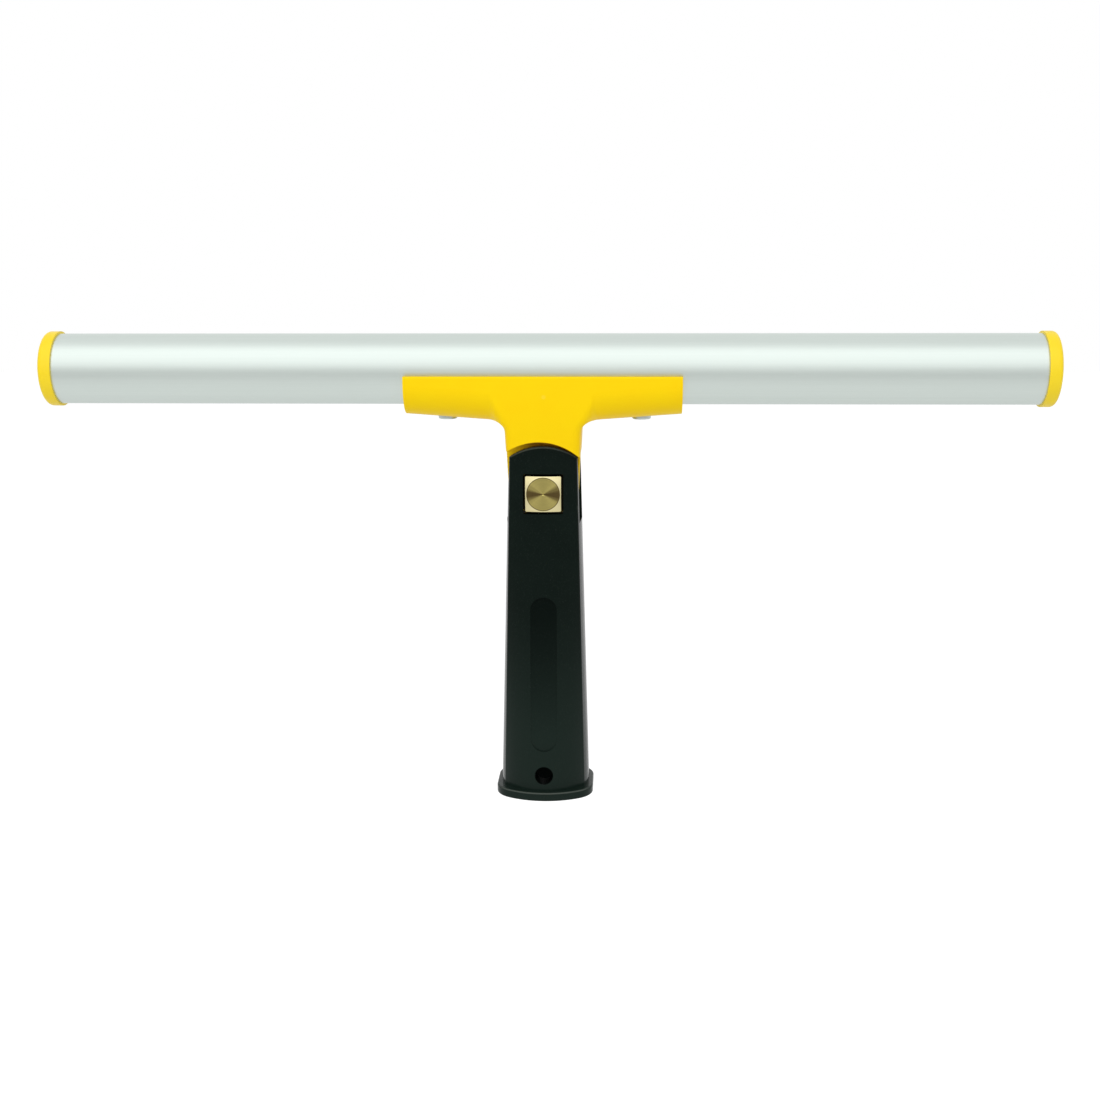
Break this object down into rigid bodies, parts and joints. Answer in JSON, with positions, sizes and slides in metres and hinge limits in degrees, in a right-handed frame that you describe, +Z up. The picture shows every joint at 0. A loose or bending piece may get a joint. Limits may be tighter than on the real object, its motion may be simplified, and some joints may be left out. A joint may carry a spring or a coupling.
{
  "type": "window strip washer",
  "caption": "Swivel T-bar for a window washing sleeve: an aluminium tube in a moulded saddle on a tapered pole handle, locked by a brass push button.",
  "frame": {"origin": "centre of the pole socket's mouth, at the bottom of the handle", "axes": "+Z runs up the handle to the tube, X runs along the tube, and -Y is the face with the brass button"},
  "size_m": [0.457, 0.045, 0.2159],
  "materials": {
    "tube": "satin silver anodised extrusion, drawn along its length",
    "cap": "yellow moulded plastic, slight sheen",
    "head": "yellow moulded plastic, slight sheen",
    "handle": "black moulded plastic with a fine spark-eroded grain",
    "button": "square-drawn bar with a turned face",
    "cone": "turned and dry",
    "washer": "natural acetal",
    "zinc_screw": "bright zinc plate",
    "steel": "plain bright steel"
  },
  "bodies": {
    "handle": {"handle_moulding": "handle", "thrust_washer_front": "washer", "thrust_washer_rear": "washer", "button_spring": "steel"},
    "head": {"head_moulding": "head", "bar_tube": "tube", "end_cap_left": "cap", "end_cap_right": "cap", "saddle_screw_left": "zinc_screw", "saddle_screw_right": "zinc_screw"},
    "button": {"lock_button": "button", "brake_cone": "cone", "retaining_screw": "steel"}
  },
  "joints": [
    {"name": "head_swivel", "type": "hinge", "parent": "handle", "child": "head", "pos_m": [0, 0, 0.1436], "axis": [0, 1, 0], "range_deg": [-75, 75]},
    {"name": "button_press", "type": "slide", "parent": "handle", "child": "button", "axis": [0, 1, 0], "range_m": [0, 0.0025], "stiffness_N_per_m": 2000, "springref_m": -0.005, "deforming": ["button_spring"]}
  ]
}
